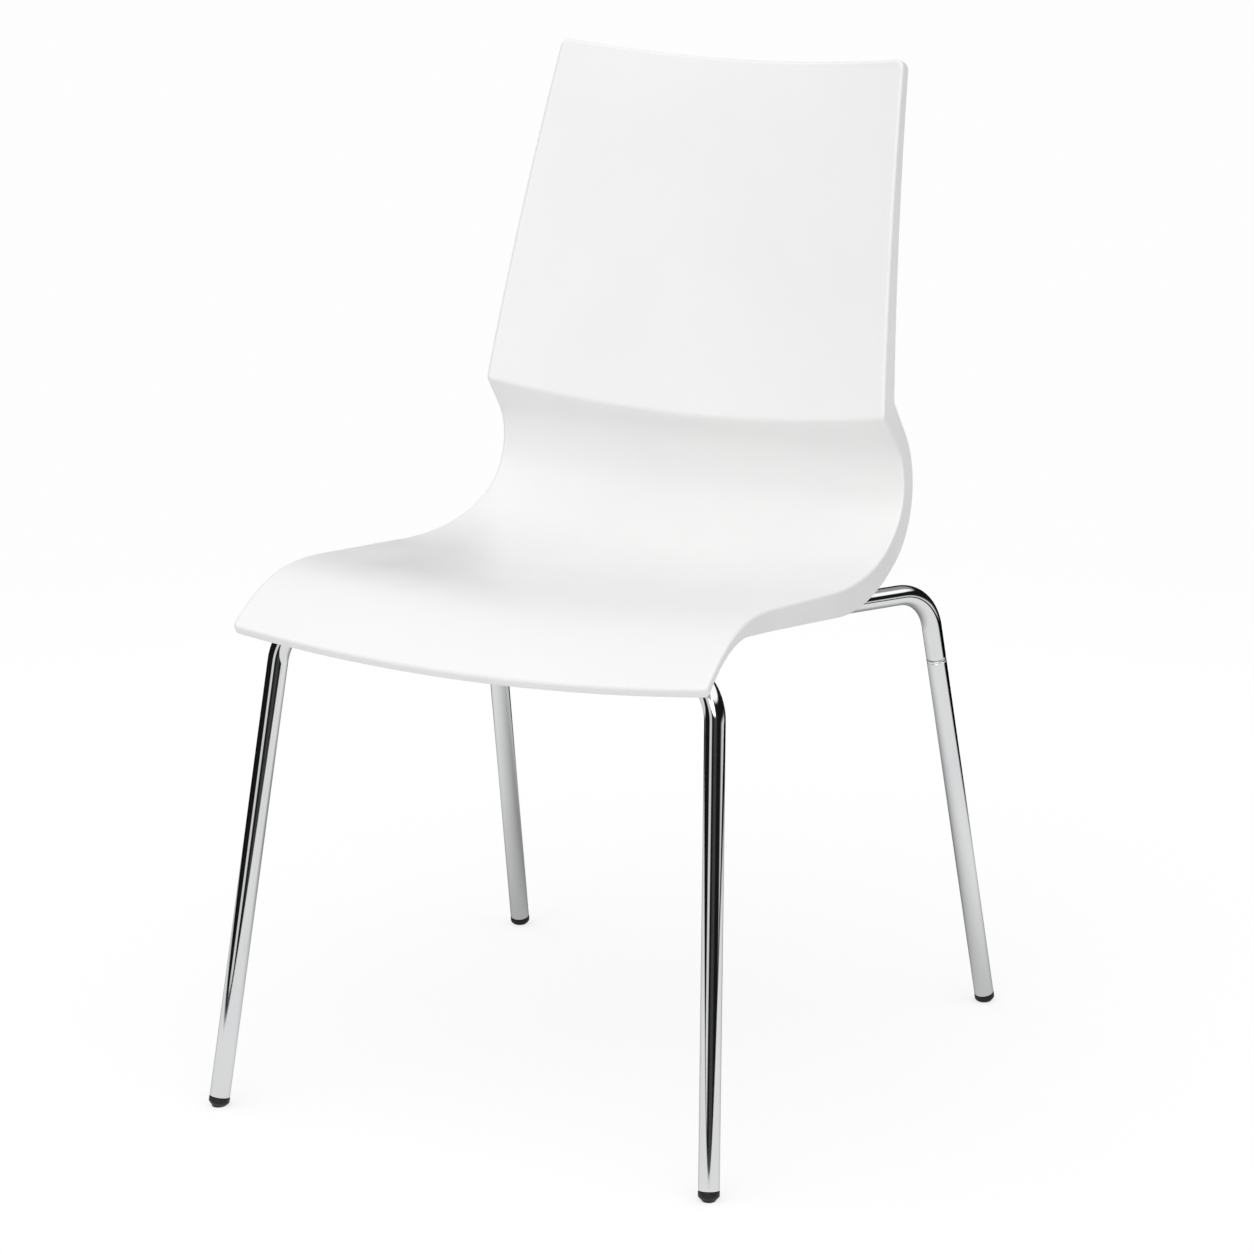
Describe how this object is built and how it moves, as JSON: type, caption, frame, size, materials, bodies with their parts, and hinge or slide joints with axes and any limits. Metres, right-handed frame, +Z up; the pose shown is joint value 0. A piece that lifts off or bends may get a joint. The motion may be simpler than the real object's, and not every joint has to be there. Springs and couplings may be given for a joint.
{
  "type": "stacking chair",
  "caption": "Armless stacking chair: white one-piece moulded seat and back with a sharp lumbar crease, on a chromed tube frame with splayed legs and black feet.",
  "frame": {"origin": "on the floor, at the middle of the chair's width and depth", "axes": "+Z up, the chair faces -Y, +X is the sitter's left"},
  "size_m": [0.4864, 0.5498, 0.8341],
  "materials": {
    "white_plastic": "satin moulded, fine grain",
    "chrome": "bright polished",
    "steel": "zinc plated",
    "brass": "turned",
    "black_plastic": "satin moulded",
    "grey_plastic": "satin moulded"
  },
  "bodies": {
    "root": {"seat_shell": "white_plastic", "front_leg_frame": "chrome", "rear_arm_tube_left": "chrome", "rear_leg_tube_left": "chrome", "rear_leg_spigot_left": "steel", "rear_arm_tube_right": "chrome", "rear_leg_tube_right": "chrome", "rear_leg_spigot_right": "steel", "rear_cross_tube": "chrome", "foot_plug_front_left": "black_plastic", "mount_tab_front_left": "steel", "mount_washer_front_left": "steel", "mount_screw_front_left": "steel", "thread_insert_front_left": "brass", "stack_pad_front_left": "grey_plastic", "foot_plug_front_right": "black_plastic", "mount_tab_front_right": "steel", "mount_washer_front_right": "steel", "mount_screw_front_right": "steel", "thread_insert_front_right": "brass", "stack_pad_front_right": "grey_plastic", "foot_plug_rear_left": "black_plastic", "mount_tab_rear_left": "steel", "mount_washer_rear_left": "steel", "mount_screw_rear_left": "steel", "thread_insert_rear_left": "brass", "stack_pad_rear_left": "grey_plastic", "foot_plug_rear_right": "black_plastic", "mount_tab_rear_right": "steel", "mount_washer_rear_right": "steel", "mount_screw_rear_right": "steel", "thread_insert_rear_right": "brass", "stack_pad_rear_right": "grey_plastic"}
  },
  "joints": []
}
